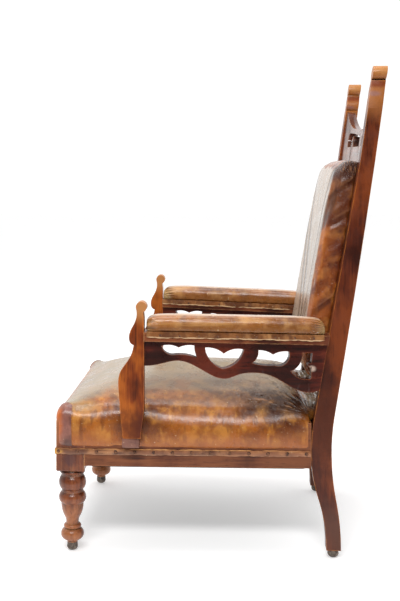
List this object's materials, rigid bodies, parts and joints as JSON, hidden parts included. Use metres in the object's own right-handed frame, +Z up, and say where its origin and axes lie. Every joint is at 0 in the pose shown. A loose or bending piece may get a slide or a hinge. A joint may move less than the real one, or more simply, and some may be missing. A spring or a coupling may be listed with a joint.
{
  "type": "hall porter chair",
  "caption": "High-backed wooden armchair with leather seat, back and arm pads, turned front legs, scroll finials and a pierced crest rail.",
  "frame": {"origin": "on the floor, under the middle of the whole chair", "axes": "+X to the sitter's left, -Y to the front of the chair, +Z up"},
  "size_m": [0.6666, 0.8115, 1.196],
  "materials": {
    "wood": "dark reddish-brown French polish, worn lighter on the edges",
    "seat_leather": "worn tan hide, soft sheen",
    "back_leather": "worn brown hide, glossy on the front",
    "arm_leather": "rubbed tan hide, gathered ends",
    "banding_leather": "brown leather strip",
    "nail_metal": "aged, dulled heads",
    "glide_iron": "dusty dull iron",
    "screw_steel": "plain steel",
    "spring_steel": "dull drawn wire",
    "webbing": "woven jute strap",
    "hessian": "plain woven cloth"
  },
  "bodies": {
    "root": {"arm_dowels": "wood", "arm_pad_nails": "nail_metal", "arm_support_screws": "screw_steel", "back_cover_nails": "nail_metal", "back_hessian": "hessian", "back_left_corner_block": "wood", "back_left_glide": "glide_iron", "back_pad": "back_leather", "back_right_corner_block": "wood", "back_right_glide": "glide_iron", "back_seat_rail": "wood", "back_webbing": "webbing", "banding_nails": "nail_metal", "bottom_cloth": "hessian", "corner_block_screws": "screw_steel", "crest_rail": "wood", "front_banding": "banding_leather", "front_left_corner_block": "wood", "front_left_glide": "glide_iron", "front_right_corner_block": "wood", "front_right_glide": "glide_iron", "front_seat_rail": "wood", "left_arm_block": "seat_leather", "left_arm_pad": "arm_leather", "left_arm_panel": "wood", "left_arm_rest": "wood", "left_arm_support": "wood", "left_back_post": "wood", "left_banding": "banding_leather", "left_corner_facing": "seat_leather", "left_front_leg": "wood", "left_seat_rail": "wood", "lower_back_rail": "wood", "outside_back_cover": "back_leather", "right_arm_block": "seat_leather", "right_arm_pad": "arm_leather", "right_arm_panel": "wood", "right_arm_rest": "wood", "right_arm_support": "wood", "right_back_post": "wood", "right_banding": "banding_leather", "right_corner_facing": "seat_leather", "right_front_leg": "wood", "right_seat_rail": "wood", "seat_cushion": "seat_leather", "seat_springs": "spring_steel", "seat_webbing": "webbing", "spring_hessian": "hessian"}
  },
  "joints": []
}
